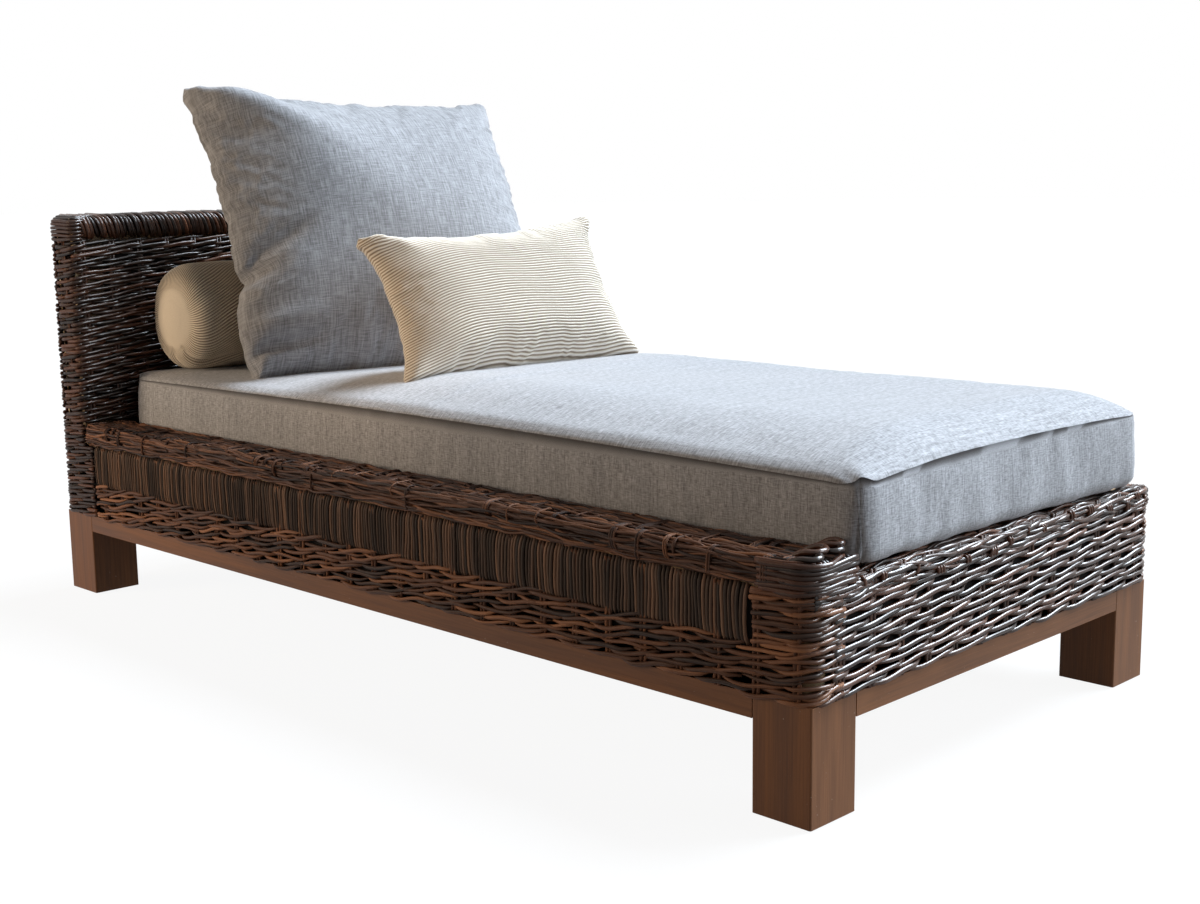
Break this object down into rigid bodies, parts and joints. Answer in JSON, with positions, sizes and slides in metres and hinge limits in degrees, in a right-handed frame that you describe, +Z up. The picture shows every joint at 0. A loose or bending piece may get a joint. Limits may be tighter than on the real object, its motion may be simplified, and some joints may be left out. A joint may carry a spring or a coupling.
{
  "type": "sun lounger",
  "caption": "Woven daybed lounger: a stained wood base and wicker body with a fixed head panel, carrying a loose mattress, a bolster and pillows.",
  "frame": {"origin": "on the floor, under the middle of the wood base", "axes": "+X to the foot, away from the head panel; +Y to the far side; +Z up"},
  "size_m": [1.916, 0.908, 1.0009],
  "materials": {
    "stained_wood": "satin stained hardwood with fine straight grain",
    "frame_wood": "plain planed softwood",
    "wicker": "dark stained woven rattan with a soft gloss",
    "grey_linen": "coarse linen weave with slubs",
    "cream_rib": "fine ribbed cotton",
    "foam": "foam and fibre filling",
    "bolt_steel": "zinc plated",
    "glide_plastic": "moulded, matte"
  },
  "bodies": {
    "lounger_frame": {"leg_foot_near": "stained_wood", "leg_foot_far": "stained_wood", "leg_head_near": "stained_wood", "leg_head_far": "stained_wood", "rail_near": "stained_wood", "rail_far": "stained_wood", "rail_foot": "stained_wood", "rail_head": "stained_wood", "bearer_1": "stained_wood", "bearer_2": "stained_wood", "corner_braces": "frame_wood", "corner_bolts": "bolt_steel", "floor_glides": "glide_plastic", "sill_near": "frame_wood", "sill_far": "frame_wood", "sill_foot": "frame_wood", "sill_head": "frame_wood", "post_foot_near": "frame_wood", "post_foot_far": "frame_wood", "post_near_1": "frame_wood", "post_near_2": "frame_wood", "post_far_1": "frame_wood", "post_far_2": "frame_wood", "head_post_near": "frame_wood", "head_post_far": "frame_wood", "head_top_rail": "frame_wood", "head_mid_rail": "frame_wood", "top_rail_near": "frame_wood", "top_rail_far": "frame_wood", "top_rail_foot": "frame_wood", "ledger_near": "frame_wood", "ledger_far": "frame_wood", "slat_1": "frame_wood", "slat_2": "frame_wood", "slat_3": "frame_wood", "slat_4": "frame_wood", "slat_5": "frame_wood", "slat_6": "frame_wood", "slat_7": "frame_wood", "weave_near": "wicker", "weave_far": "wicker", "weave_foot": "wicker", "head_weave_back": "wicker", "head_weave_front": "wicker", "head_weave_near": "wicker", "head_weave_far": "wicker", "cane_panel_near": "wicker", "cane_panel_far": "wicker", "rim_near": "wicker", "rim_far": "wicker", "rim_foot": "wicker", "head_cap": "wicker"},
    "mattress": {"mattress_cover": "grey_linen", "mattress_core": "foam"},
    "bolster": {"bolster_cover": "cream_rib", "bolster_core": "foam"},
    "back_pillow": {"back_pillow_cover": "grey_linen", "back_pillow_insert": "foam"},
    "lumbar_pillow": {"lumbar_pillow_cover": "cream_rib", "lumbar_pillow_insert": "foam"}
  },
  "joints": [
    {"name": "mattress_lift", "type": "slide", "parent": "lounger_frame", "child": "mattress", "axis": [0, 0, 1], "range_m": [0, 0.45]},
    {"name": "bolster_pull", "type": "slide", "parent": "mattress", "child": "bolster", "axis": [0, -1, 0], "range_m": [0, 0.8]},
    {"name": "back_pillow_lift", "type": "slide", "parent": "mattress", "child": "back_pillow", "axis": [0, 0, 1], "range_m": [0, 0.5]},
    {"name": "lumbar_pillow_lift", "type": "slide", "parent": "mattress", "child": "lumbar_pillow", "axis": [0, 0, 1], "range_m": [0, 0.5]}
  ]
}
